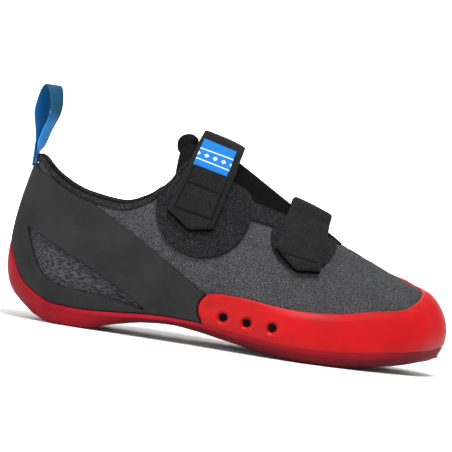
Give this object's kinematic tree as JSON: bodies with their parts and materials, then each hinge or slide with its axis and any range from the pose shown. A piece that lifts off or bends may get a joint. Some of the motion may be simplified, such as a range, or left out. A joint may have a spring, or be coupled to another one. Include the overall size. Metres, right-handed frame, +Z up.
{
  "type": "climbing shoe",
  "caption": "Low right climbing shoe of grey suede with a cupped rubber outsole, toe and heel rands, hook-and-loop instep straps, a padded tongue and a heel pull loop.",
  "frame": {"origin": "middle of the flat spot under the heel, on the plane that the shoe stands on", "axes": "+X from heel to toe, +Z up, the lateral side (the wearer's right) faces -Y"},
  "size_m": [0.2597, 0.0947, 0.1363],
  "materials": {
    "suede": "mid-grey brushed suede",
    "outsole_rubber": "smooth matte crimson",
    "insole_foam": "grey foam faced with cloth",
    "black_rubber": "matte charcoal",
    "red_rubber": "smooth satin red",
    "loop_felt": "charcoal loop felt",
    "tongue_knit": "black padded knit",
    "strap_cloth": "black stitched strap",
    "label_weave": "blue woven label",
    "binding_knit": "dark knit binding",
    "blue_webbing": "blue ribbed tape"
  },
  "bodies": {
    "root": {"upper": "suede", "outsole": "outsole_rubber", "insole": "insole_foam", "heel_rand": "black_rubber", "toe_rand": "red_rubber", "loop_patch": "loop_felt", "tongue": "tongue_knit", "lower_strap": "strap_cloth", "upper_strap": "strap_cloth", "strap_label": "label_weave", "collar_binding": "binding_knit", "pull_loop": "blue_webbing"}
  },
  "joints": []
}
